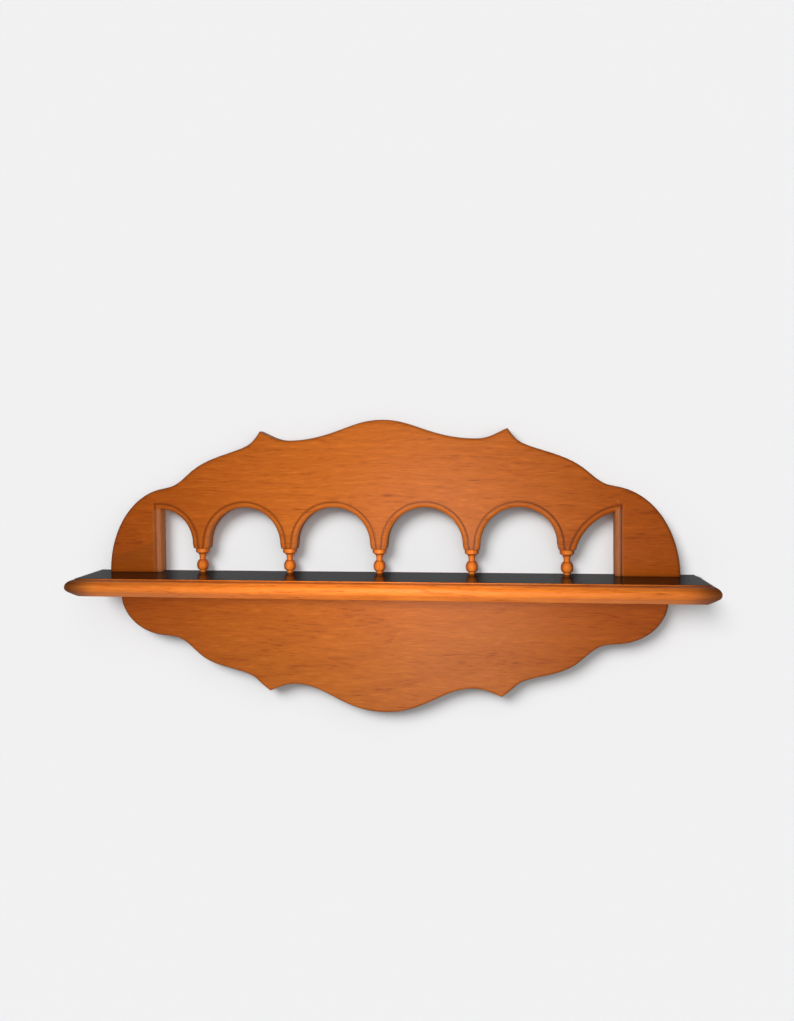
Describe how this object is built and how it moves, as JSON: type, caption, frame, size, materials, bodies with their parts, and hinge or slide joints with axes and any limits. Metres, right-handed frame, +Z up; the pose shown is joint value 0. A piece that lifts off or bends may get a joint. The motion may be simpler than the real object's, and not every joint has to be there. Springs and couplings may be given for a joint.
{
  "type": "wall shelf",
  "caption": "Wooden wall shelf with a moulded board, a scalloped panel above it cut into an arcade on turned spindles, a scalloped panel below, and keyhole hangers behind.",
  "frame": {"origin": "where the shelf board's top meets the wall, halfway along the board", "axes": "+X along the shelf to the right of someone facing it, +Y into the wall, +Z up"},
  "size_m": [0.762, 0.0889, 0.3618],
  "materials": {
    "shelf_wood": "satin lacquer, top near black",
    "panel_wood": "satin lacquer",
    "spindle_wood": "satin lacquer",
    "dowel_wood": "bare",
    "hanger_steel": "zinc plated",
    "screw_steel": "zinc plated"
  },
  "bodies": {
    "root": {"hanger_plate_left": "hanger_steel", "hanger_plate_right": "hanger_steel", "hanger_screws": "screw_steel", "lower_panel": "panel_wood", "lower_panel_dowels": "dowel_wood", "shelf_board": "shelf_wood", "shelf_screws": "screw_steel", "spindle_1": "spindle_wood", "spindle_2": "spindle_wood", "spindle_3": "spindle_wood", "spindle_4": "spindle_wood", "spindle_5": "spindle_wood", "upper_panel": "panel_wood"}
  },
  "joints": []
}
